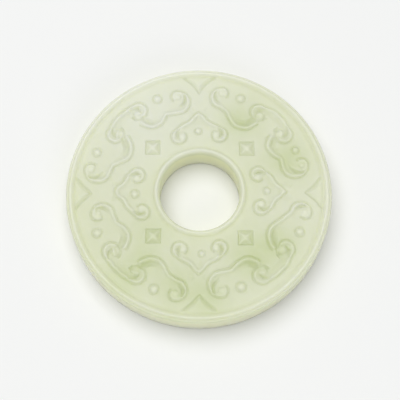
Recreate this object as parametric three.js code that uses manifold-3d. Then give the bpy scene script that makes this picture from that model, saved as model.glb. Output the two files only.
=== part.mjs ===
// A carved jade bi: a flat ring with a round hole, raised bands along both edges and cloud scrolls between.
// Millimetres. The disc lies flat: Z is up, the underside is at Z = 0 and the axis of the hole is the Z axis.
import * as THREE from 'three';
import { mergeVertices } from 'three/addons/utils/BufferGeometryUtils.js';
import Module from 'manifold-3d';

// Driving dimensions
const DISC_RADIUS = 28;
const HOLE_RADIUS = 8.5;
const THICKNESS = 7.2;

// The bands and lips along the two edges, as distances in from each edge
const OUTER_EDGE = { lip: 0.32, crestStart: 0.68, crestEnd: 1.0, grooveAt: 1.5, fieldAt: 1.76 };
const HOLE_EDGE = { lip: 0.22, crestStart: 0.52, crestEnd: 0.8, grooveAt: 1.25, fieldAt: 1.5 };
const LIP_DROP = 0.5;
const EDGE_ROUNDING = 0.55;
const BAND_GROOVE_DROP = 0.68;
const FIELD_DROP = 0.35;

// The plain underside: two flat bands that the disc rests on, with a shallow field between them
const REST_CHAMFER = 0.4;
const REST_BAND_WIDTH = 1.4;
const UNDER_FIELD_RISE = 0.3;
const UNDER_STEP_WIDTH = 0.25;

// The cut of a carved line: a V groove whose inner wall runs on up to a ridge with a narrow flat crest
const GROOVE_DEPTH = 0.3;
const GROOVE_SLOPE = 1.35;
const RIDGE_HEIGHT = 0.32;
const CREST_WIDTH = 0.16;
const RIDGE_END = 0.9;

// How far forms that are joined sink into each other, and how far cuts reach past the surface
const SUNK = 0.12;
const CLEAR = 0.08;
const CUT_OVERRUN = 0.12;

// Facets
const RING_FACETS = 64;
const DOT_FACETS = 8;
const ARC_STEP = THREE.MathUtils.degToRad(30);

// The pattern is drawn on a field between these two radii, and is stretched with the real field.
const DRAWN_START = 10;
const DRAWN_END = 26.24;

// Every motif is set out on a middle line from the hole to the rim. A place on it is [across, out]:
// the distance to the side of the middle line, and the distance out from the centre of the disc.
const ARCH = [[0, 24.75], [1.6, 24.67]];
const MIDDLE_SCROLL = { outer: 1.95, inner: 1.15, start: 90, change: -150, end: -290 };
const SIDE_SCROLL = { inner: 1.55, start: -122, change: 50, end: 215 };
const LOBE = [[1.6, 20.7], [2.0, 18.8], [3.2, 17.1], [5.2, 16.1]];

// The two halves of each large cloud, as its carver placed them: the eyes of the middle and the side
// scroll, the cusp between them, the dot and the size of the side scroll. The first half lies
// anticlockwise of the middle line and the second one clockwise.
const CLOUDS = [
  { middleLine: 45, halves: [
    { middle: [3.25, 21.4], side: [12.1, 19.4], cusp: [8.75, 16.5], dot: [8.6, 21.5], size: 2.45 },
    { middle: [3.0, 21.5], side: [10.75, 19.6], cusp: [7.0, 17.0], dot: [7.75, 21.25], size: 3.2 },
  ] },
  { middleLine: 135, halves: [
    { middle: [3.0, 21.5], side: [12.4, 19.5], cusp: [9.05, 17.1], dot: [9.25, 21.6], size: 2.9 },
    { middle: [3.0, 21.75], side: [11.75, 18.4], cusp: [7.45, 16.75], dot: [8.4, 21.25], size: 2.65 },
  ] },
  { middleLine: 225, halves: [
    { middle: [3.0, 21.6], side: [12.0, 19.6], cusp: [8.6, 17.25], dot: [8.5, 21.75], size: 2.5 },
    { middle: [2.9, 21.6], side: [11.4, 18.9], cusp: [7.6, 16.75], dot: [8.6, 21.7], size: 2.6 },
  ] },
  { middleLine: 315, halves: [
    { middle: [3.4, 21.25], side: [12.1, 18.6], cusp: [8.25, 16.25], dot: [8.6, 21.25], size: 2.45 },
    { middle: [3.6, 21.75], side: [12.0, 18.25], cusp: [7.4, 16.6], dot: [8.75, 21.0], size: 2.8 },
  ] },
];

// The small heads at the hole, each on a middle line through 12, 9, 6 or 3 o'clock
const HEAD = [[0, 18.7], [1.0, 17.5], [2.25, 16.4], [3.6, 15.7]];
const HEAD_EYE = [3.45, 12.55];
const HEAD_SCROLL = { outer: 1.85, inner: 1.12, start: 62, change: -180, end: -290 };
const HEAD_DOT = [0, 13.6];

// The pointed notches that the rim sends in between the clouds
const NOTCH = [[0, 22.85], [0.95, 23.85], [2.2, 24.95], [3.6, 25.75]];

const DOT = { radius: 0.75, height: 0.33, grooveRadius: 1.15, grooveDepth: 0.25 };
const SQUARE = { place: [0, 13.8], side: 3.0, pitDepth: 0.3, wallLean: 0.5, pyramidSide: 2.4, height: 0.28 };

const fieldLevel = THICKNESS - FIELD_DROP;
const fieldStart = HOLE_RADIUS + HOLE_EDGE.fieldAt;
const fieldEnd = DISC_RADIUS - OUTER_EDGE.fieldAt;
const wasm = await Module();
wasm.setup();

// A closed three.js geometry as a solid for joining and cutting.
function toSolid(geometry) {
  geometry.deleteAttribute('normal');
  geometry.deleteAttribute('uv');
  const closed = mergeVertices(geometry, 1e-5);
  const vertProperties = new Float32Array(closed.attributes.position.array);
  const triVerts = new Uint32Array(closed.index.array);
  return new wasm.Manifold(new wasm.Mesh({ numProp: 3, vertProperties, triVerts }));
}

function toGeometry(solid) {
  const mesh = solid.getMesh();
  const geometry = new THREE.BufferGeometry();
  geometry.setAttribute('position', new THREE.BufferAttribute(mesh.vertProperties, 3));
  geometry.setIndex(new THREE.BufferAttribute(mesh.triVerts, 1));
  geometry.computeVertexNormals();
  return geometry;
}

// A turned form about the Z axis. The profile is a list of [radius, height] that runs anticlockwise.
function turned(profile, facets) {
  const points = profile.map(([radius, height]) => new THREE.Vector2(radius, height));
  return new THREE.LatheGeometry(points, facets).rotateX(Math.PI / 2);
}

// One top edge of the disc, from its wall over the lip and the band into the field.
function edgeProfile(edgeRadius, inward, edge) {
  const place = (distance, drop) => [edgeRadius + inward * distance, THICKNESS - drop];
  return [
    place(0, LIP_DROP + EDGE_ROUNDING),
    place(edge.lip, LIP_DROP),
    place((edge.lip + edge.crestStart) / 2, FIELD_DROP / 2),
    place(edge.crestStart, 0),
    place(edge.crestEnd, 0),
    place((edge.crestEnd + edge.grooveAt) / 2, FIELD_DROP * 0.6),
    place(edge.grooveAt, BAND_GROOVE_DROP),
    place(edge.fieldAt, FIELD_DROP),
  ];
}

function plainDisc() {
  const restStart = HOLE_RADIUS + REST_CHAMFER;
  const restEnd = DISC_RADIUS - REST_CHAMFER;
  const underStart = restStart + REST_BAND_WIDTH;
  const underEnd = restEnd - REST_BAND_WIDTH;
  const profile = [
    [restStart, 0],
    [underStart, 0],
    [underStart + UNDER_STEP_WIDTH, UNDER_FIELD_RISE],
    [underEnd - UNDER_STEP_WIDTH, UNDER_FIELD_RISE],
    [underEnd, 0],
    [restEnd, 0],
    [DISC_RADIUS, REST_CHAMFER],
    ...edgeProfile(DISC_RADIUS, -1, OUTER_EDGE),
    ...edgeProfile(HOLE_RADIUS, 1, HOLE_EDGE).reverse(),
    [HOLE_RADIUS, REST_CHAMFER],
    [restStart, 0],
  ];
  return toSolid(turned(profile, RING_FACETS));
}

// The place at a distance and a direction, in radians, from another one.
function placeFrom(place, distance, direction) {
  return [place[0] + distance * Math.cos(direction), place[1] + distance * Math.sin(direction)];
}

function arc(centre, radius, start, end) {
  const steps = Math.ceil(Math.abs(end - start) / ARC_STEP);
  const points = [];
  for (let step = 0; step <= steps; step += 1) {
    points.push(placeFrom(centre, radius, start + ((end - start) * step) / steps));
  }
  return points;
}

// A scroll as a compass draws it: an outer arc that runs on into a tighter one about the eye.
function scroll(eye, { outer, inner, start, change, end }) {
  const [startAngle, changeAngle, endAngle] = [start, change, end].map(THREE.MathUtils.degToRad);
  const outerCentre = placeFrom(eye, inner - outer, changeAngle);
  const turn = arc(outerCentre, outer, startAngle, changeAngle);
  const eyeTurn = arc(eye, inner, changeAngle, endAngle);
  return [...turn, ...eyeTurn.slice(1)];
}

// The carved lines of half a large cloud: arch with middle scroll, lobe, and cusp with side scroll.
function halfCloud({ middle, side, cusp, size }) {
  const arch = [...ARCH, ...scroll(middle, MIDDLE_SCROLL)];
  const lobe = [...LOBE, cusp];
  const sideScroll = [cusp, ...scroll(side, { ...SIDE_SCROLL, outer: size })];
  return { arch, lobe, sideScroll };
}

// A carved line steps from point to point, and is smooth where it passes them.
class CarvedLine extends THREE.CatmullRomCurve3 {
  getUtoTmapping(share) {
    return share;
  }
}

// A place of the drawn pattern, on the disc's field. side is 1 for the clockwise half of a motif and
// -1 for the other half.
function onField([across, out], middleLine, side) {
  const angle = THREE.MathUtils.degToRad(middleLine) - side * Math.atan2(across, out);
  const share = (Math.hypot(across, out) - DRAWN_START) / (DRAWN_END - DRAWN_START);
  const radius = THREE.MathUtils.lerp(fieldStart, fieldEnd, share);
  return new THREE.Vector3(radius * Math.cos(angle), radius * Math.sin(angle), fieldLevel);
}

function carvedLine(places, middleLine, side) {
  return new CarvedLine(places.map((place) => onField(place, middleLine, side)));
}

// A section swept along a line. Its points are [distance inward from the line, height above the field].
function swept(line, section, inwardIsLeft) {
  const shape = new THREE.Shape(section.map(([inward, height]) => (
    new THREE.Vector2(-height, inwardIsLeft ? inward : -inward)
  )));
  const steps = line.points.length - 1;
  return toSolid(new THREE.ExtrudeGeometry(shape, { extrudePath: line, steps }));
}

// How far the walls of the groove are from its middle at a height over the field.
const wallAt = (height) => (GROOVE_DEPTH + height) / GROOVE_SLOPE;
const crestEnd = wallAt(RIDGE_HEIGHT) + CREST_WIDTH;
const CUT_TOP = RIDGE_HEIGHT + CLEAR;
const GROOVE_SECTION = [
  [0, -GROOVE_DEPTH],
  [wallAt(RIDGE_HEIGHT), RIDGE_HEIGHT],
  [wallAt(CUT_TOP), CUT_TOP],
  [-wallAt(CUT_TOP), CUT_TOP],
  [-wallAt(0), 0],
];
const RIDGE_SECTION = [
  [CLEAR, -SUNK],
  [RIDGE_END, -SUNK],
  [RIDGE_END, 0],
  [crestEnd, RIDGE_HEIGHT],
  [CLEAR, RIDGE_HEIGHT],
];

const ridges = [];
const grooves = [];
const domes = [];

// The place beyond an end of a line, a small share of its last step further on.
const beyond = (end, before) => end.map((value, axis) => value + (value - before[axis]) * CUT_OVERRUN);

function carveGroove(places, middleLine, side, inwardIsLeft) {
  const last = places.length - 1;
  const longer = [
    beyond(places[0], places[1]),
    ...places.slice(1, last),
    beyond(places[last], places[last - 1]),
  ];
  grooves.push(swept(carvedLine(longer, middleLine, side), GROOVE_SECTION, inwardIsLeft));
}

function carve(places, middleLine, side, inwardIsLeft) {
  ridges.push(swept(carvedLine(places, middleLine, side), RIDGE_SECTION, inwardIsLeft));
  carveGroove(places, middleLine, side, inwardIsLeft);
}

const mirrored = (places) => places.map(([across, out]) => [-across, out]);

// Moves a form that is made about the Z axis to a place on a middle line.
function moved(geometry, place, middleLine, side) {
  const centre = onField(place, middleLine, side);
  return geometry.rotateZ(THREE.MathUtils.degToRad(middleLine)).translate(centre.x, centre.y, centre.z);
}

// A raised dot in a ring groove.
function carveDot(place, middleLine, side) {
  const { radius, height, grooveRadius, grooveDepth } = DOT;
  const grooveMiddle = (radius + grooveRadius) / 2;
  const groove = [
    [grooveMiddle, -grooveDepth],
    [grooveRadius + CLEAR, CLEAR],
    [radius - CLEAR, CLEAR],
    [grooveMiddle, -grooveDepth],
  ];
  const dome = [[0, -SUNK], [radius, -SUNK], [radius * 0.7, height * 0.75], [0, height]];
  grooves.push(toSolid(moved(turned(groove, DOT_FACETS), place, middleLine, side)));
  domes.push(toSolid(moved(turned(dome, DOT_FACETS), place, middleLine, side)));
}

// A square pit with a low pyramid in it.
function carveSquare(middleLine) {
  const { place, side, pitDepth, wallLean, pyramidSide, height } = SQUARE;
  const cut = pitDepth + CLEAR;
  const topCorner = (side / 2 + CLEAR * wallLean) * Math.SQRT2;
  const floorCorner = (side / 2 - pitDepth * wallLean) * Math.SQRT2;
  const pit = new THREE.CylinderGeometry(topCorner, floorCorner, cut, 4);
  pit.rotateX(Math.PI / 2).translate(0, 0, (CLEAR - pitDepth) / 2);
  const rise = SUNK + pitDepth + height;
  const pyramid = new THREE.ConeGeometry(pyramidSide * Math.SQRT1_2, rise, 4);
  pyramid.rotateX(Math.PI / 2).translate(0, 0, height - rise / 2);
  grooves.push(toSolid(moved(pit, place, middleLine, 1)));
  domes.push(toSolid(moved(pyramid, place, middleLine, 1)));
}

for (const { middleLine, halves } of CLOUDS) {
  const [before, after] = halves.map(halfCloud);
  carve([...mirrored(before.arch).reverse(), ...after.arch.slice(1)], middleLine, 1, false);
  carve(before.lobe, middleLine, -1, false);
  carve(after.lobe, middleLine, 1, true);
  carve(before.sideScroll, middleLine, -1, false);
  carve(after.sideScroll, middleLine, 1, true);
  carveDot(halves[0].dot, middleLine, -1);
  carveDot(halves[1].dot, middleLine, 1);
  carveSquare(middleLine);
}

for (let quarter = 0; quarter < 4; quarter += 1) {
  const middleLine = quarter * 90;
  const head = [...HEAD, ...scroll(HEAD_EYE, HEAD_SCROLL)];
  carve(head, middleLine, 1, false);
  carve(head, middleLine, -1, true);
  carveGroove(NOTCH, middleLine, 1, true);
  carveGroove(NOTCH, middleLine, -1, false);
  carveDot(HEAD_DOT, middleLine, 1);
}

const JADE = new THREE.MeshStandardMaterial({ color: 0xd5dcb9, roughness: 0.35, metalness: 0 });

const carved = plainDisc()
  .add(wasm.Manifold.union(ridges))
  .subtract(wasm.Manifold.union(grooves))
  .add(wasm.Manifold.union(domes));

const part = new THREE.Group();
const disc = new THREE.Mesh(toGeometry(carved), JADE);
disc.name = 'jade_disc';
part.add(disc);

export default part;
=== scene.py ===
import math
import bpy
import numpy as np
from mathutils import Matrix, Vector


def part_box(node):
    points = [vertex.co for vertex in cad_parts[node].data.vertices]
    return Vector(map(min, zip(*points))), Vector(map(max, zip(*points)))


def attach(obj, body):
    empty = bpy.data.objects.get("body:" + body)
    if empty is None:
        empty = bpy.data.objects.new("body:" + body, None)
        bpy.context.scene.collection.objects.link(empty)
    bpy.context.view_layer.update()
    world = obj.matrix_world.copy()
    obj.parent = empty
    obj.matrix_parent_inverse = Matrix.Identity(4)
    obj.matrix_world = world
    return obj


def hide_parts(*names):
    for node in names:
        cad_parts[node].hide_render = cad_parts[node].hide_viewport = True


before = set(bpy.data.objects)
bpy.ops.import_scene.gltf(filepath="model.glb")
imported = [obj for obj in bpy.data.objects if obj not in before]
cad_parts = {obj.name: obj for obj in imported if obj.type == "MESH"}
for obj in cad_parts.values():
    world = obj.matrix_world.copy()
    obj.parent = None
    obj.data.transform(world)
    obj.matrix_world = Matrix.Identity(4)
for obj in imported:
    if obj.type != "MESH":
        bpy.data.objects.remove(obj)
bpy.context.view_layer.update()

# A carved disc of pale jade, dressed in its fine relief and its stone.
# The relief is worked out in millimetres, as a height over every point of the carved face.
# The rim stays a hair inside the solid that this mesh stands for.
MM = 0.001
RIM_CLEARANCE = 0.005
low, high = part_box("jade_disc")
THICKNESS = (high.z - low.z) / MM
DISC_RADIUS = (high.x - low.x) / MM / 2 - RIM_CLEARANCE
HOLE_RADIUS = 8.5

# Camera: where the photographer's eye is, in metres. It aims at the point of the disc's axis at
# AIM_HEIGHT, which the photo shows at AIM_PIXEL.
ELEVATION = math.radians(71.9)
DISTANCE = 0.225
FOCAL_PIXELS = 1069.0
PICTURE_PIXELS = 400
SENSOR = 36.0
AIM_HEIGHT = 0.0068
AIM_PIXEL = (199.0, 191.5)
SEEN_FROM = 0.005
SEEN_TO = 20

# The edges: distance in from the edge, and drop below the top of the solid
OUTER_EDGE = [
    (0.0, 0.95), (0.05, 0.7), (0.12, 0.53), (0.22, 0.45), (0.37, 0.52), (0.48, 0.46), (0.6, 0.28),
    (0.74, 0.12), (0.9, 0.05), (1.05, 0.07), (1.25, 0.16), (1.5, 0.29), (1.7, 0.39), (1.9, 0.41),
    (2.1, 0.38), (2.35, 0.35),
]
HOLE_EDGE = [
    (0.0, 0.85), (0.05, 0.62), (0.12, 0.48), (0.22, 0.36), (0.34, 0.21), (0.48, 0.09), (0.66, 0.05),
    (0.85, 0.08), (1.02, 0.19), (1.2, 0.33), (1.36, 0.41), (1.52, 0.41), (1.75, 0.37), (1.95, 0.35),
]
FIELD_DROP = OUTER_EDGE[-1][1]

# How softly the profile of the edges runs, and the fine steps that it is smoothed over
PROFILE_SOFTNESS = 0.08
PROFILE_STEP = 0.01
PROFILE_REACH = 15

# The underside: distance in from the edge, and rise over the table
UNDER_EDGE = [(0.0, 0.55), (0.08, 0.3), (0.2, 0.12), (0.42, 0.01), (1.75, 0.01), (1.95, 0.12), (2.15, 0.3)]

# The plain rings of its shallow field: how far in from the wall of the hole and from the wall of the
# rim they begin, and how far apart they are
UNDER_FIELD_START = 3.5
UNDER_FIELD_END = 3.0
UNDER_FIELD_STEP = 1.5

# How a line is carved: a groove, a ridge along its inward side and a hollow behind the ridge.
# A line fades out over TAPER where it ends freely, and over ABRUPT where it meets another line.
# Nothing that it carves is farther from it than REACH. UNCUT is a height above all the carving.
GROOVE_DEPTH = 0.14
OUTWARD_SLOPE = 0.6
INWARD_SLOPE = 1.1
GROOVE_ROUNDING = 0.08
RIDGE_HEIGHT = 0.19
RIDGE_CREST = 0.5
RIDGE_OUTWARD = 0.42
RIDGE_INWARD = 0.6
HOLLOW_DEPTH = 0.22
HOLLOW_MIDDLE = 1.5
HOLLOW_HALF = 0.9
TAPER = 0.9
ABRUPT = 0.01
REACH = 2.3
UNCUT = 1.0

# How strong the hollow is along each kind of line, at even steps from the line's start
ARCH_HOLLOW = [0.3, 0.5, 0, 0, 0, 0]
LOBE_HOLLOW = [1, 1, 0.8, 0.4, 0]
SIDE_HOLLOW = [0, 0.3, 0, 0, 0]
HEAD_HOLLOW = [0.3, 0.3, 0, 0, 0, 0]

# How finely the lines are followed, and how many of their steps are worked out at once
ARC_STEP = math.radians(15)
LINE_STEPS = 6
STRETCH = 12
OVERLAP = 3

# The pattern, as [across a middle line, out from the centre of the disc], in millimetres.
# The two halves of each cloud differ a little, as the hand left them.
MIDDLE_SCROLL = dict(outer=1.95, inner=1.0, start=90, change=-150, end=-290)
SIDE_SCROLL = dict(inner=1.4, start=-122, change=50, end=215)
SHOULDER_ACROSS = 1.6
SHOULDER_FALL = 0.06
LOBE_START = [(1.7, 20.05), (1.9, 18.75)]
CLOUDS = [
    dict(middle_line=45, square=(0.4, 14.0), arch=24.7, halves=[
        dict(middle=(2.7, 21.35), lobe=[(2.55, 17.05), (5.1, 15.6)], cusp=(8.75, 16.55),
             side=(12.3, 19.45), size=2.55, dot=(8.55, 21.35), dot_size=1.0),
        dict(middle=(3.05, 21.45), lobe=[(2.9, 17.15), (5.2, 16.6)], cusp=(7.1, 17.0),
             side=(11.2, 19.75), size=3.0, dot=(8.0, 21.1), dot_size=0.8),
    ]),
    dict(middle_line=135, square=(0.0, 13.95), arch=24.45, halves=[
        dict(middle=(2.8, 21.25), lobe=[(2.8, 16.9), (5.1, 15.5)], cusp=(8.75, 16.55),
             side=(12.75, 19.65), size=2.95, dot=(9.15, 21.5), dot_size=0.95),
        dict(middle=(2.85, 21.6), lobe=[(3.0, 16.95), (5.35, 16.25)], cusp=(7.3, 16.85),
             side=(11.95, 18.55), size=2.75, dot=(8.5, 21.2), dot_size=0.95),
    ]),
    dict(middle_line=225, square=(-0.15, 13.6), arch=24.4, halves=[
        dict(middle=(2.9, 21.4), lobe=[(2.9, 16.95), (5.15, 15.9)], cusp=(8.45, 16.75),
             side=(12.3, 19.1), size=2.4, dot=(8.4, 21.4), dot_size=1.05),
        dict(middle=(2.8, 21.55), lobe=[(3.2, 16.8), (5.15, 16.15)], cusp=(7.35, 16.5),
             side=(11.4, 18.6), size=2.5, dot=(8.5, 21.4), dot_size=1.0),
    ]),
    dict(middle_line=315, square=(0.3, 14.0), arch=24.5, halves=[
        dict(middle=(3.1, 21.15), lobe=[(3.0, 16.85), (4.9, 15.8)], cusp=(7.95, 16.15),
             side=(12.45, 19.05), size=2.35, dot=(8.6, 21.15), dot_size=1.0),
        dict(middle=(2.8, 21.5), lobe=[(3.0, 16.95), (5.25, 16.25)], cusp=(7.15, 16.3),
             side=(11.85, 18.5), size=2.9, dot=(8.4, 20.7), dot_size=1.05),
    ]),
]
HEAD = [(1.0, 17.5), (2.1, 16.15), (3.65, 15.25)]
HEAD_SCROLL = dict(outer=1.72, inner=0.95, start=62, change=-180, end=-290)
HEADS = [
    dict(middle_line=0, tip=18.55, shift=0.25, dot=(-0.15, 14.4), dot_size=0.78,
         eyes=[(3.1, 12.55), (2.75, 13.1)]),
    dict(middle_line=90, tip=18.05, shift=-0.05, dot=(-0.15, 13.6), dot_size=0.78,
         eyes=[(3.5, 12.35), (3.65, 12.8)]),
    dict(middle_line=180, tip=17.85, shift=0.05, dot=(-0.6, 13.5), dot_size=0.9,
         eyes=[(3.8, 12.0), (2.8, 13.05)]),
    dict(middle_line=270, tip=18.05, shift=-0.2, dot=(-0.6, 13.55), dot_size=0.68,
         eyes=[(3.55, 12.3), (3.25, 12.65)]),
]
NOTCH_ARM = [(0.75, 23.45), (1.65, 24.45), (3.75, 26.05)]
NOTCHES = [
    dict(middle_line=0, tip=(0.25, 22.5), shift=0.0),
    dict(middle_line=90, tip=(0.0, 22.4), shift=0.25),
    dict(middle_line=180, tip=(-0.45, 22.75), shift=0.0),
    dict(middle_line=270, tip=(-0.1, 22.35), shift=-0.3),
]

# The pocket cut into a curl: turn past the start of its scroll in degrees, distance from its eye as
# a share of the scroll's outer radius, half-width, and height of its floor. At its half-width the
# pocket is POCKET_RISE above its floor.
POCKET = [
    (-35, 1.0, 0.3, 0.25), (0, 0.88, 0.55, -0.1), (45, 0.7, 0.46, -0.26), (85, 0.56, 0.32, -0.18),
    (125, 0.48, 0.18, 0.25),
]
POCKET_RISE = 0.3
EYE_RADIUS = 0.85
EYE_HEIGHT = 0.23

# The dots with the groove around each, the squares with their stars, and the grooves of the notches.
# A dome is fuller the smaller its power is. The arm of a notch fades over NOTCH_FADE, and would be
# gone at NOTCH_OVERRUN past its end.
DOME_POWER = 0.6
DOT_RADIUS = 0.76
DOT_HEIGHT = 0.22
DOT_GROOVE = 1.03
DOT_GROOVE_DEPTH = 0.12
SQUARE_HALF = 1.52
SQUARE_DEPTH = 0.22
SQUARE_WALL_SLOPE = 2.2
STAR_RISE = 0.34
STAR_HOLLOW = 0.4
NOTCH_DEPTH = 0.18
NOTCH_BEVEL = 0.7
NOTCH_NARROW = 0.3
NOTCH_FADE = 1.3
NOTCH_OVERRUN = 0.3

# The hole and the pattern near it lie a little to the right of the rim's middle. The shift fades out
# towards the rim, between two rings that are SHIFT_MARGIN from the two edges.
HOLE_SHIFT = (0.15, 0.0)
SHIFT_MARGIN = 3

# The stone's greener clouds, and a painted reflection of the key light as a paler cloud at the upper
# left, each as [across, up, radius, strength], over the face
GREEN_CLOUDS = [
    (8.9, 15.7, 4.0, 0.7), (18.9, 7.3, 4.0, 0.7), (11.0, -14.3, 5.0, 0.8), (16.8, -11.0, 4.0, 0.6),
    (1.8, -22.7, 4.0, 0.7), (-4.8, -20.2, 4.0, 0.6), (-15.3, -18.5, 4.0, 0.6), (-10.7, -15.2, 3.0, 0.6),
    (-9.8, -9.3, 4.0, 0.5),
]
PAINTED_REFLECTION_CLOUDS = [(-12, 20, 15, 0.6)]

# The painted shade that makes the deep cuts greener and the painted highlight that makes the crests
# paler, and the depth below the field or the height above it that gives the whole amount of each
CUT_PAINTED_SHADE = 0.35
CUT_PAINTED_SHADE_DEPTH = 0.4
CREST_PAINTED_HIGHLIGHT = 0.12
CREST_PAINTED_HIGHLIGHT_HEIGHT = 0.25

# The colours: two drifting tones of the stone, a paler painted highlight and reflection, the greener
# stone that also gives the painted shade in the cuts, a lighter painted glow for the walls, and flecks
DRIFT_COLOURS = [(0.67, 0.695, 0.505, 1), (0.70, 0.72, 0.555, 1)]
# Paler: a painted highlight on the crests and a painted reflection of the key light at the upper left
PAINTED_HIGHLIGHT_COLOUR = (0.75, 0.765, 0.67, 1)
# Greener: the stone's own green clouds, and painted shade in the deep cuts
GREEN_STONE_AND_SHADE_COLOUR = (0.575, 0.63, 0.36, 1)
# Lighter and yellower: a painted glow on the lower walls, as of light passing through the stone
PAINTED_GLOW_COLOUR = (0.81, 0.825, 0.565, 1)
FLECK_COLOUR = (0.78, 0.80, 0.69, 1)
FLECK_SHARE = 0.12

# Between these two heights over the table, in metres, the walls turn to a painted glow, lighter and
# yellower, as of light passing through the stone
PAINTED_GLOW_START = 0.0063
PAINTED_GLOW_END = 0.0054

# The patterns in the stone and on its skin, each with the range of it that is used
DRIFT = dict(scale=60, detail=3, distortion=0.5)
DRIFT_RANGE = (0.35, 0.65)
FLECKS = dict(scale=420, detail=4, distortion=0.6)
FLECK_RANGE = (0.5, 0.8)
POLISH = dict(scale=150, detail=1, distortion=0)
POLISH_RANGE = (0.3, 0.7)
SKIN = dict(scale=700, detail=3, distortion=0)

# The polish: a nearly even satin, on a skin that is uneven by a few thousandths of a millimetre
ROUGHNESS = (0.261, 0.269)
SKIN_HEIGHT = 0.000005
SKIN_STRENGTH = 0.3
REFRACTION = 1.61
SHINE = 0.22

# How far light passes into the stone, in metres, and the share of that for red, green and blue
LIGHT_DEPTH = 0.005
LIGHT_DEPTH_SHARES = (1.0, 1.0, 0.8)

# The studio: a plain pale floor, an even sky, a large soft light from the upper left and a weak one
# from the front right. Places and sizes are in metres, and energies in watts.
FLOOR_HALF = 3.0
FLOOR_COLOUR = (0.9, 0.9, 0.89, 1)
FLOOR_ROUGHNESS = 0.7
FLOOR_SHINE = 0.2
SKY_COLOUR = (0.96, 0.98, 1.0, 1)
SKY_STRENGTH = 0.4
LIGHTS = [
    dict(name="key", place=(-0.17, 0.265, 1.07), size=1.15, energy=8.9, colour=(1.0, 1.0, 0.99)),
    dict(name="front", place=(0.15, -0.42, 0.3), size=0.3, energy=0.4, colour=(1.0, 1.0, 1.0)),
]

# The mesh: how finely the face, its lips and the walls are divided, how often the carving is
# softened along its rings, and how many triangles are kept
ANGLE_STEPS = 1536
FIELD_STEP = 0.1
BAND_STEP = 0.06
WALL_ANGLE_STEPS = 384
WALL_STEPS = 6
LIP = 0.3
LIP_STEPS = 6
POLISH_PASSES = 2
TRIANGLES = 190000


def smoothstep(share):
    share = np.clip(share, 0, 1)
    return share * share * (3 - 2 * share)


def bump(share):
    """One at 0, falling smoothly to 0 at -1 and 1."""
    return np.clip(1 - share * share, 0, None) ** 2


def arc(centre, radius, start, end):
    steps = math.ceil(abs(end - start) / ARC_STEP)
    angles = np.linspace(start, end, steps + 1)
    return [(centre[0] + radius * math.cos(a), centre[1] + radius * math.sin(a)) for a in angles]


def scroll(eye, outer, inner, start, change, end):
    """A scroll as a compass draws it: an outer arc that runs on into a tighter one about the eye."""
    start, change, end = math.radians(start), math.radians(change), math.radians(end)
    shift = inner - outer
    outer_centre = (eye[0] + shift * math.cos(change), eye[1] + shift * math.sin(change))
    return arc(outer_centre, outer, start, change) + arc(eye, inner, change, end)[1:]


def pocket(eye, outer, start, end):
    """The middle line, half-widths and floors of the pocket in a curl."""
    way = math.copysign(1, end - start)
    turns, distances, widths, floors = np.array(POCKET).T
    angles = np.radians(start + way * turns)
    radii = distances * outer
    return list(zip(eye[0] + radii * np.cos(angles), eye[1] + radii * np.sin(angles))), widths, floors


def on_disc(places, middle_line, side):
    """Places of the pattern as points of the disc. side is 1 for the clockwise half of a motif, or -1."""
    across, out = np.array(places, float).T
    angle = math.radians(middle_line)
    x = out * math.cos(angle) + side * across * math.sin(angle)
    y = out * math.sin(angle) - side * across * math.cos(angle)
    return np.stack([x, y], 1)


def smooth_line(points):
    """A line with small steps that passes smoothly through the points."""
    p = np.vstack([2 * points[:1] - points[1:2], points, 2 * points[-1:] - points[-2:-1]])
    p0, p1, p2, p3 = p[:-3], p[1:-2], p[2:-1], p[3:]
    d0, d1, d2 = (np.sqrt(np.linalg.norm(b - a, axis=1))[:, None] for a, b in ((p0, p1), (p1, p2), (p2, p3)))
    m1 = d1 * ((p1 - p0) / d0 - (p2 - p0) / (d0 + d1) + (p2 - p1) / d1)
    m2 = d1 * ((p2 - p1) / d1 - (p3 - p1) / (d1 + d2) + (p3 - p2) / d2)
    t = (np.arange(LINE_STEPS) / LINE_STEPS)[None, :, None]
    a, b, m, n = (v[:, None, :] for v in (p1, p2, m1, m2))
    curve = (2 * t**3 - 3 * t**2 + 1) * a + (t**3 - 2 * t**2 + t) * m
    curve = curve + (3 * t**2 - 2 * t**3) * b + (t**3 - t**2) * n
    return np.vstack([curve.reshape(-1, 2), points[-1:]])


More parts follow.
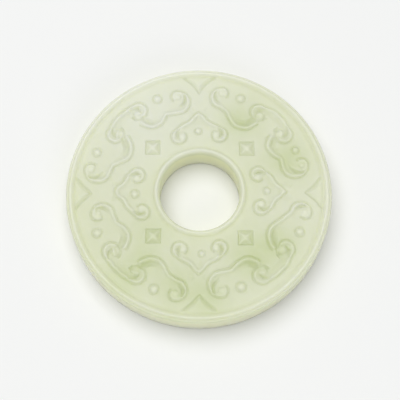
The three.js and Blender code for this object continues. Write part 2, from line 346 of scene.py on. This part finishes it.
class Relief:
    """The height of the carved face over its field, at given points."""

    def __init__(self, x, y):
        self.x, self.y = x, y
        self.raised = np.zeros_like(x)
        self.sunk = np.zeros_like(x)
        self.cut = np.full_like(x, UNCUT)

    def near(self, lowest, highest):
        inside = (self.x > lowest[0]) & (self.x < highest[0]) & (self.y > lowest[1]) & (self.y < highest[1])
        return np.nonzero(inside)[0]

    def beside(self, line):
        """The points near each stretch of a line, how far to its left they are and how far along it."""
        lengths = np.linalg.norm(np.diff(line, axis=0), axis=1)
        reached = np.concatenate([[0], np.cumsum(lengths)])
        last = len(line) - 1
        for first in range(0, last, STRETCH):
            begin, end = max(first - OVERLAP, 0), min(first + STRETCH + OVERLAP, last)
            part = line[begin:end + 1]
            index = self.near(part.min(0) - REACH, part.max(0) + REACH)
            if len(index) == 0:
                continue
            length = lengths[begin:end]
            unit = np.diff(part, axis=0) / length[:, None]
            dx = self.x[index][:, None] - part[None, :-1, 0]
            dy = self.y[index][:, None] - part[None, :-1, 1]
            along = dx * unit[:, 0] + dy * unit[:, 1]
            left = unit[:, 0] * dy - unit[:, 1] * dx
            past = np.clip(np.maximum(-along, along - length), 0, None)
            gap = np.hypot(left, past)
            nearest = gap.argmin(1)
            row = np.arange(len(index))
            along, left, gap = along[row, nearest], left[row, nearest], gap[row, nearest]
            before = (nearest == 0) & (along < 0) & (begin > 0)
            after = (nearest == len(length) - 1) & (along > length[-1]) & (end < last)
            kept = ~(before | after) & (gap < REACH)
            spot = reached[begin + nearest] + np.clip(along, 0, length[nearest])
            yield index[kept], np.copysign(gap, left)[kept], spot[kept]

    def raise_to(self, index, height):
        self.raised[index] = np.maximum(self.raised[index], height)

    def cut_to(self, index, height):
        self.cut[index] = np.minimum(self.cut[index], height)

    def groove(self, index, offset, depth, inward_slope=INWARD_SLOPE):
        slope = np.where(offset < 0, OUTWARD_SLOPE, inward_slope)
        self.cut_to(index, slope * (np.sqrt(offset**2 + GROOVE_ROUNDING**2) - GROOVE_ROUNDING) - depth)

    def carve(self, line, inward, hollow, start_taper=ABRUPT, end_taper=ABRUPT):
        """hollow gives the strength of the hollow behind the ridge, at even steps along the line."""
        total = np.linalg.norm(np.diff(line, axis=0), axis=1).sum()
        for index, offset, spot in self.beside(line):
            offset = inward * offset
            fade_in = smoothstep((spot + ABRUPT) / start_taper)
            strength = fade_in * smoothstep((total - spot + ABRUPT) / end_taper)
            width = np.where(offset < RIDGE_CREST, RIDGE_OUTWARD, RIDGE_INWARD)
            self.raise_to(index, RIDGE_HEIGHT * bump((offset - RIDGE_CREST) / width) * strength * (spot > 0))
            depth = HOLLOW_DEPTH * np.interp(spot / total, np.linspace(0, 1, len(hollow)), hollow)
            sunk = depth * bump((offset - HOLLOW_MIDDLE) / HOLLOW_HALF)
            self.sunk[index] = np.maximum(self.sunk[index], sunk)
            self.groove(index, offset, (GROOVE_DEPTH + RIDGE_HEIGHT) * strength - RIDGE_HEIGHT)

    def gouge(self, line, places, widths, floors):
        """A cut with a round floor, whose width and floor change from place to place of its middle line."""
        steps = np.concatenate([[0], np.cumsum(np.linalg.norm(np.diff(places, axis=0), axis=1))])
        total = np.linalg.norm(np.diff(line, axis=0), axis=1).sum()
        for index, offset, spot in self.beside(line):
            share = spot / total * steps[-1]
            width, floor = np.interp(share, steps, widths), np.interp(share, steps, floors)
            self.cut_to(index, floor + POCKET_RISE * (offset / width) ** 2)

    def notch(self, line, inward):
        """A groove with a bevel on its inward side, widest in the middle of the line."""
        total = np.linalg.norm(np.diff(line, axis=0), axis=1).sum()
        for index, offset, spot in self.beside(line):
            width = NOTCH_NARROW + (NOTCH_BEVEL - NOTCH_NARROW) * np.sin(math.pi * spot / total)
            depth = NOTCH_DEPTH * smoothstep((total - spot + NOTCH_OVERRUN) / NOTCH_FADE)
            self.groove(index, inward * offset, depth, NOTCH_DEPTH / width)

    def dome(self, centre, radius, height):
        index = self.near(centre - radius, centre + radius)
        share = np.hypot(self.x[index] - centre[0], self.y[index] - centre[1]) / radius
        self.raise_to(index, height * np.clip(1 - share**2, 0, None) ** DOME_POWER)

    def dot(self, centre, size=1.0):
        self.dome(centre, DOT_RADIUS * size, DOT_HEIGHT)
        index = self.near(centre - REACH, centre + REACH)
        gap = np.hypot(self.x[index] - centre[0], self.y[index] - centre[1]) - DOT_GROOVE * size
        self.groove(index, -gap, DOT_GROOVE_DEPTH)

    def square(self, centre):
        """A square pit about a four-pointed star with hollow sides."""
        index = self.near(centre - REACH, centre + REACH)
        dx, dy = np.abs(self.x[index] - centre[0]), np.abs(self.y[index] - centre[1])
        wide, narrow = np.maximum(dx, dy), np.minimum(dx, dy)
        share = ((1 + STAR_HOLLOW) * wide - STAR_HOLLOW * narrow) / SQUARE_HALF
        star = np.maximum(STAR_RISE * (1 - share), 0) - SQUARE_DEPTH
        wall = (wide - SQUARE_HALF) * SQUARE_WALL_SLOPE - SQUARE_DEPTH
        self.cut_to(index, np.where(wide < SQUARE_HALF, star, wall))

    def height(self):
        return np.minimum(self.raised - self.sunk, self.cut)


def cloud_half(middle, lobe, cusp, side, size, arch_out):
    """The lines of half a cloud: its arch, its lobe and its side scroll, and its two pockets."""
    shoulder = (SHOULDER_ACROSS, arch_out - SHOULDER_FALL)
    arch = [(0, arch_out), shoulder] + scroll(middle, **MIDDLE_SCROLL)
    side_scroll = [cusp] + scroll(side, outer=size, **SIDE_SCROLL)
    pockets = [
        pocket(middle, MIDDLE_SCROLL["outer"], MIDDLE_SCROLL["start"], MIDDLE_SCROLL["end"]),
        pocket(side, size, SIDE_SCROLL["start"], SIDE_SCROLL["end"]),
    ]
    return (arch, LOBE_START + lobe + [cusp], side_scroll), pockets


def carve_curl(relief, eye, cut, middle_line, side):
    line, widths, floors = cut
    places = on_disc(line, middle_line, side)
    relief.gouge(smooth_line(places), places, widths, floors)
    relief.dome(on_disc([eye], middle_line, side)[0], EYE_RADIUS, EYE_HEIGHT)


def carve_cloud(relief, middle_line, square, arch, halves):
    for half, side in zip(halves, (-1, 1)):
        names = ("middle", "lobe", "cusp", "side", "size")
        lines, pockets = cloud_half(*(half[name] for name in names), arch)
        arch_line, lobe, side_scroll = (smooth_line(on_disc(line, middle_line, side)) for line in lines)
        relief.carve(arch_line, -side, ARCH_HOLLOW, end_taper=TAPER)
        relief.carve(lobe, side, LOBE_HOLLOW, start_taper=TAPER / 2)
        relief.carve(side_scroll, side, SIDE_HOLLOW, end_taper=TAPER)
        for eye, cut in zip((half["middle"], half["side"]), pockets):
            carve_curl(relief, eye, cut, middle_line, side)
        relief.dot(on_disc([half["dot"]], middle_line, side)[0], half["dot_size"])
    relief.square(on_disc([square], middle_line, 1)[0])


def head_line(tip, shift, eye):
    return [(0, tip)] + [(across, out + shift) for across, out in HEAD] + scroll(eye, **HEAD_SCROLL)


def carve_head(relief, middle_line, tip, shift, dot, dot_size, eyes):
    for eye, side in zip(eyes, (-1, 1)):
        line = on_disc(head_line(tip, shift, eye), middle_line, side)
        relief.carve(smooth_line(line), -side, HEAD_HOLLOW, end_taper=TAPER)
        cut = pocket(eye, HEAD_SCROLL["outer"], HEAD_SCROLL["start"], HEAD_SCROLL["end"])
        carve_curl(relief, eye, cut, middle_line, side)
    relief.dot(on_disc([dot], middle_line, 1)[0], dot_size)


def notch_arm(tip, shift, side):
    across, out = tip
    return [(side * across, out)] + [(side * across + a, o + shift) for a, o in NOTCH_ARM]


def carve_notch(relief, middle_line, tip, shift):
    for side in (-1, 1):
        relief.notch(smooth_line(on_disc(notch_arm(tip, shift, side), middle_line, side)), side)


def carved_height(x, y):
    relief = Relief(x, y)
    for cloud in CLOUDS:
        carve_cloud(relief, **cloud)
    for head in HEADS:
        carve_head(relief, **head)
    for notch in NOTCHES:
        carve_notch(relief, **notch)
    return relief.height()


def face_profile(radius):
    """The height of the upper face, without its carving, at a distance from the axis."""
    fine = np.arange(HOLE_RADIUS, DISC_RADIUS, PROFILE_STEP)
    places = [(HOLE_RADIUS + d, THICKNESS - drop) for d, drop in HOLE_EDGE]
    places += [(DISC_RADIUS - d, THICKNESS - drop) for d, drop in OUTER_EDGE[::-1]]
    height = np.interp(fine, *zip(*places))
    reach = np.arange(-PROFILE_REACH, PROFILE_REACH + 1) * PROFILE_STEP
    weights = np.exp(-0.5 * (reach / PROFILE_SOFTNESS) ** 2)
    padded = np.pad(height, PROFILE_REACH, mode="edge")
    return np.interp(radius, fine, np.convolve(padded, weights / weights.sum(), mode="valid"))


def face_radii():
    """The rings of the carved face, from the lip of the rim in to the lip of the hole."""
    rim_field = DISC_RADIUS - OUTER_EDGE[-1][0]
    hole_field = HOLE_RADIUS + HOLE_EDGE[-1][0]
    return np.concatenate([
        np.arange(DISC_RADIUS - LIP, rim_field, -BAND_STEP),
        np.arange(rim_field, hole_field, -FIELD_STEP),
        np.arange(hole_field, HOLE_RADIUS + LIP, -BAND_STEP),
        [HOLE_RADIUS + LIP],
    ])


def lower_rings():
    """The plain rings: the lip and the wall of the hole, the underside, the wall and the lip of the rim."""
    lip = np.arange(LIP_STEPS) * LIP / LIP_STEPS
    foot = UNDER_EDGE[0][1]
    field = (HOLE_RADIUS + UNDER_FIELD_START, DISC_RADIUS - UNDER_FIELD_END)
    hole_lip, rim_lip = face_profile(HOLE_RADIUS + lip), face_profile(DISC_RADIUS - lip)
    rings = list(zip(HOLE_RADIUS + lip[::-1], hole_lip[::-1]))
    rings += [(HOLE_RADIUS, height) for height in np.linspace(hole_lip[0], foot, WALL_STEPS + 1)[1:-1]]
    rings += [(HOLE_RADIUS + d, rise) for d, rise in UNDER_EDGE]
    rings += [(radius, UNDER_EDGE[-1][1]) for radius in np.arange(*field, UNDER_FIELD_STEP)]
    rings += [(DISC_RADIUS - d, rise) for d, rise in UNDER_EDGE[::-1]]
    rings += [(DISC_RADIUS, height) for height in np.linspace(foot, rim_lip[0], WALL_STEPS + 1)[1:-1]]
    return rings + list(zip(DISC_RADIUS - lip, rim_lip))


def ring_points(radii, heights, steps):
    """The points of a stack of rings. Towards the hole the rings lie a little off the middle."""
    angle = np.linspace(0, 2 * math.pi, steps, endpoint=False)
    x, y = np.outer(radii, np.cos(angle)), np.outer(radii, np.sin(angle))
    way = DISC_RADIUS - HOLE_RADIUS - 2 * SHIFT_MARGIN
    inner = smoothstep((DISC_RADIUS - SHIFT_MARGIN - np.array(radii)) / way)[:, None]
    z = np.broadcast_to(np.reshape(heights, (len(radii), -1)), x.shape)
    return np.stack([x + HOLE_SHIFT[0] * inner, y + HOLE_SHIFT[1] * inner, z], -1).reshape(-1, 3)


def ring_faces(first, rings, steps):
    """The four-sided faces between neighbouring rings of a stack whose first point is given."""
    ring = first + np.arange(rings - 1)[:, None] * steps
    spoke = np.arange(steps)[None, :]
    next_spoke = np.roll(spoke, -1, axis=1)
    corners = [ring + spoke, ring + next_spoke, ring + steps + next_spoke, ring + steps + spoke]
    return np.stack(corners, -1).reshape(-1, 4).tolist()


def seam_faces(fine, coarse, flipped):
    """The many-sided faces that join a fine ring to a coarse one, given the first point of each."""
    share = ANGLE_STEPS // WALL_ANGLE_STEPS
    faces = []
    for step in range(WALL_ANGLE_STEPS):
        after = (step + 1) % WALL_ANGLE_STEPS
        edge = [fine + (step * share + part) % ANGLE_STEPS for part in range(share + 1)]
        face = [coarse + after, coarse + step] + edge
        faces.append(face[::-1] if flipped else face)
    return faces


def polished(height):
    """The carving after its last polish, which softens every edge a little."""
    for _ in range(POLISH_PASSES):
        height = (np.roll(height, 1, 1) + 2 * height + np.roll(height, -1, 1)) / 4
    padded = np.pad(height, ((1, 1), (0, 0)), mode="edge")
    return (padded[:-2] + 2 * height + padded[2:]) / 4


def clouded(x, y, clouds):
    """How strong the soft round clouds are together, at given points."""
    total = 0
    for across, up, radius, strength in clouds:
        total = total + strength * np.exp(-((x - across) ** 2 + (y - up) ** 2) / radius**2)
    return total


def mark_stone_and_painted_light(mesh):
    """Marks every point of the mesh with its green, from the stone's clouds and painted shade in the deep
    cuts, and with its painted highlight on the crests and painted reflection at the upper left.
    """
    places = np.empty(3 * len(mesh.vertices))
    mesh.vertices.foreach_get("co", places)
    x, y, z = places.reshape(-1, 3).T / MM
    level = THICKNESS - FIELD_DROP
    # The stone's green clouds, and painted shade deepening the cuts below the field
    green_and_painted_shade = clouded(x, y, GREEN_CLOUDS) + CUT_PAINTED_SHADE * np.clip((level - z) / CUT_PAINTED_SHADE_DEPTH, 0, 1)
    # A painted reflection of the key light at the upper left, and a painted highlight on the crests
    painted_highlight = clouded(x, y, PAINTED_REFLECTION_CLOUDS) + CREST_PAINTED_HIGHLIGHT * np.clip((z - level) / CREST_PAINTED_HIGHLIGHT_HEIGHT, 0, 1)
    for name, amount in (("green_and_painted_shade", green_and_painted_shade), ("painted_highlight", painted_highlight)):
        mark = mesh.attributes.new(name, "FLOAT", "POINT")
        mark.data.foreach_set("value", np.clip(amount, 0, 1))


def disc_mesh():
    """The mesh of the disc, and how many of its points are on the carved face. Those come first."""
    radii = face_radii()
    flat = ring_points(radii, np.zeros(len(radii)), ANGLE_STEPS)
    carved = carved_height(flat[:, 0], flat[:, 1]).reshape(-1, ANGLE_STEPS)
    heights = face_profile(radii)[:, None] + polished(carved)
    upper = ring_points(radii, heights, ANGLE_STEPS)
    rings = lower_rings()
    lower = ring_points(*zip(*rings), WALL_ANGLE_STEPS)
    last = len(upper) + (len(rings) - 1) * WALL_ANGLE_STEPS
    faces = ring_faces(0, len(radii), ANGLE_STEPS) + ring_faces(len(upper), len(rings), WALL_ANGLE_STEPS)
    faces += seam_faces(len(upper) - ANGLE_STEPS, len(upper), False) + seam_faces(0, last, True)

    mesh = bpy.data.meshes.new("jade_stone")
    mesh.from_pydata(np.vstack([upper, lower]) * MM, [], faces)
    mesh.shade_smooth()
    mesh.update()
    return mesh, len(upper)


def thin_out(disc, face_points):
    """Thins the carved face, all but its first and last ring, to the triangles that are kept."""
    carving = disc.vertex_groups.new(name="carving")
    carving.add(range(ANGLE_STEPS, face_points - ANGLE_STEPS), 1.0, "REPLACE")
    thin = disc.modifiers.new("thin", "DECIMATE")
    thin.vertex_group = "carving"
    thin.ratio = TRIANGLES / sum(len(polygon.vertices) - 2 for polygon in disc.data.polygons)
    disc.modifiers.new("even_shading", "WEIGHTED_NORMAL")
    depsgraph = bpy.context.evaluated_depsgraph_get()
    thinned = bpy.data.meshes.new_from_object(disc.evaluated_get(depsgraph))
    disc.modifiers.clear()
    disc.data = thinned
    thinned.name = "jade_stone"


def make_disc():
    mesh, face_points = disc_mesh()
    disc = bpy.data.objects.new("jade_stone", mesh)
    bpy.context.scene.collection.objects.link(disc)
    thin_out(disc, face_points)
    mark_stone_and_painted_light(disc.data)
    return disc


class Shading:
    """A new material, with short ways to add nodes to it."""

    def __init__(self, name):
        self.material = bpy.data.materials.new(name)
        self.material.use_nodes = True
        self.nodes = self.material.node_tree.nodes
        self.links = self.material.node_tree.links
        self.shader = self.nodes["Principled BSDF"]
        self.place = self.nodes.new("ShaderNodeTexCoord")

    def noise(self, scale, detail, distortion):
        node = self.nodes.new("ShaderNodeTexNoise")
        node.inputs["Scale"].default_value = scale
        node.inputs["Detail"].default_value = detail
        node.inputs["Distortion"].default_value = distortion
        self.links.new(self.place.outputs["Object"], node.inputs["Vector"])
        return node.outputs["Fac"]

    def mixed(self, share, first, second):
        """A mix of two colours, each given as a value or as the output of a node."""
        node = self.nodes.new("ShaderNodeMix")
        node.data_type = "RGBA"
        self.links.new(share, node.inputs["Factor"])
        for name, value in (("A", first), ("B", second)):
            if isinstance(value, tuple):
                node.inputs[name].default_value = value
            else:
                self.links.new(value, node.inputs[name])
        return node.outputs["Result"]

    def measured(self, value, low_in, high_in, low_out, high_out):
        node = self.nodes.new("ShaderNodeMapRange")
        limits = {"From Min": low_in, "From Max": high_in, "To Min": low_out, "To Max": high_out}
        for name, limit in limits.items():
            node.inputs[name].default_value = limit
        self.links.new(value, node.inputs["Value"])
        return node.outputs["Result"]

    def marked(self, name):
        node = self.nodes.new("ShaderNodeAttribute")
        node.attribute_name = name
        return node.outputs["Fac"]

    def height(self):
        node = self.nodes.new("ShaderNodeSeparateXYZ")
        self.links.new(self.place.outputs["Object"], node.inputs["Vector"])
        return node.outputs["Z"]


def jade_colour(shading):
    """Slow drifts of two stone tones, painted highlight and reflection, greener stone with painted shade
    in the cuts, a painted glow on the lower walls, and fine flecks.
    """
    # A painted glow on the lower walls, lighter and yellower, as of light passing through the stone
    painted_glow = shading.measured(shading.height(), PAINTED_GLOW_START, PAINTED_GLOW_END, 0, 1)
    drift = shading.measured(shading.noise(**DRIFT), *DRIFT_RANGE, 0, 1)
    stone = shading.mixed(drift, *DRIFT_COLOURS)
    # The painted highlight on the crests and the painted reflection at the upper left
    stone = shading.mixed(shading.marked("painted_highlight"), stone, PAINTED_HIGHLIGHT_COLOUR)
    # The stone's green clouds, and painted shade in the cuts
    stone = shading.mixed(shading.marked("green_and_painted_shade"), stone, GREEN_STONE_AND_SHADE_COLOUR)
    stone = shading.mixed(painted_glow, stone, PAINTED_GLOW_COLOUR)
    flecks = shading.measured(shading.noise(**FLECKS), *FLECK_RANGE, 0, FLECK_SHARE)
    return shading.mixed(flecks, stone, FLECK_COLOUR)


def jade_skin(shading):
    """The faint unevenness that polishing by hand leaves."""
    relief = shading.nodes.new("ShaderNodeBump")
    relief.inputs["Distance"].default_value = SKIN_HEIGHT
    relief.inputs["Strength"].default_value = SKIN_STRENGTH
    shading.links.new(shading.noise(**SKIN), relief.inputs["Height"])
    return relief.outputs["Normal"]


def jade_material():
    shading = Shading("jade")
    shader = shading.shader
    polish = shading.measured(shading.noise(**POLISH), *POLISH_RANGE, *ROUGHNESS)
    shading.links.new(jade_colour(shading), shader.inputs["Base Color"])
    shading.links.new(polish, shader.inputs["Roughness"])
    shading.links.new(jade_skin(shading), shader.inputs["Normal"])
    shader.inputs["IOR"].default_value = REFRACTION
    shader.inputs["Specular IOR Level"].default_value = SHINE
    shader.inputs["Subsurface Weight"].default_value = 1.0
    shader.inputs["Subsurface Radius"].default_value = LIGHT_DEPTH_SHARES
    shader.inputs["Subsurface Scale"].default_value = LIGHT_DEPTH
    return shading.material


def make_camera():
    data = bpy.data.cameras.new("camera")
    data.sensor_width = SENSOR
    data.lens = FOCAL_PIXELS * SENSOR / PICTURE_PIXELS
    data.clip_start = SEEN_FROM
    data.clip_end = SEEN_TO
    camera = bpy.data.objects.new("camera", data)
    bpy.context.scene.collection.objects.link(camera)
    back = Vector((0, -math.cos(ELEVATION), math.sin(ELEVATION)))
    up = Vector((0, math.sin(ELEVATION), math.cos(ELEVATION)))
    camera.location = Vector((0, 0, AIM_HEIGHT)) + back * DISTANCE
    off_right, off_down = (pixel - PICTURE_PIXELS / 2 for pixel in AIM_PIXEL)
    look = (-back * FOCAL_PIXELS - Vector((1, 0, 0)) * off_right + up * off_down).normalized()
    right = look.cross(up).normalized()
    camera.rotation_mode = "QUATERNION"
    camera.rotation_quaternion = Matrix((right, right.cross(look), -look)).transposed().to_quaternion()
    bpy.context.scene.camera = camera


def floor_material():
    material = bpy.data.materials.new("pale_floor")
    material.use_nodes = True
    shader = material.node_tree.nodes["Principled BSDF"]
    shader.inputs["Base Color"].default_value = FLOOR_COLOUR
    shader.inputs["Roughness"].default_value = FLOOR_ROUGHNESS
    shader.inputs["Specular IOR Level"].default_value = FLOOR_SHINE
    return material


def make_floor():
    corners = [(x * FLOOR_HALF, y * FLOOR_HALF, 0) for x, y in ((-1, -1), (1, -1), (1, 1), (-1, 1))]
    mesh = bpy.data.meshes.new("floor")
    mesh.from_pydata(corners, [], [(0, 1, 2, 3)])
    mesh.materials.append(floor_material())
    floor = bpy.data.objects.new("floor", mesh)
    bpy.context.scene.collection.objects.link(floor)


def make_light(name, place, size, energy, colour):
    data = bpy.data.lights.new(name, "AREA")
    data.shape = "DISK"
    data.size = size
    data.energy = energy
    data.color = colour
    light = bpy.data.objects.new(name, data)
    light.location = place
    light.rotation_mode = "QUATERNION"
    light.rotation_quaternion = (-Vector(place)).to_track_quat("-Z", "Y")
    bpy.context.scene.collection.objects.link(light)


def make_world():
    world = bpy.data.worlds.new("studio")
    world.use_nodes = True
    sky = world.node_tree.nodes["Background"]
    sky.inputs["Color"].default_value = SKY_COLOUR
    sky.inputs["Strength"].default_value = SKY_STRENGTH
    bpy.context.scene.world = world
    bpy.context.scene.view_settings.view_transform = "Standard"


make_camera()
disc = make_disc()
disc.data.materials.clear()
disc.data.materials.append(jade_material())
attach(disc, "root")
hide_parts("jade_disc")
make_floor()
make_world()
for light in LIGHTS:
    make_light(**light)
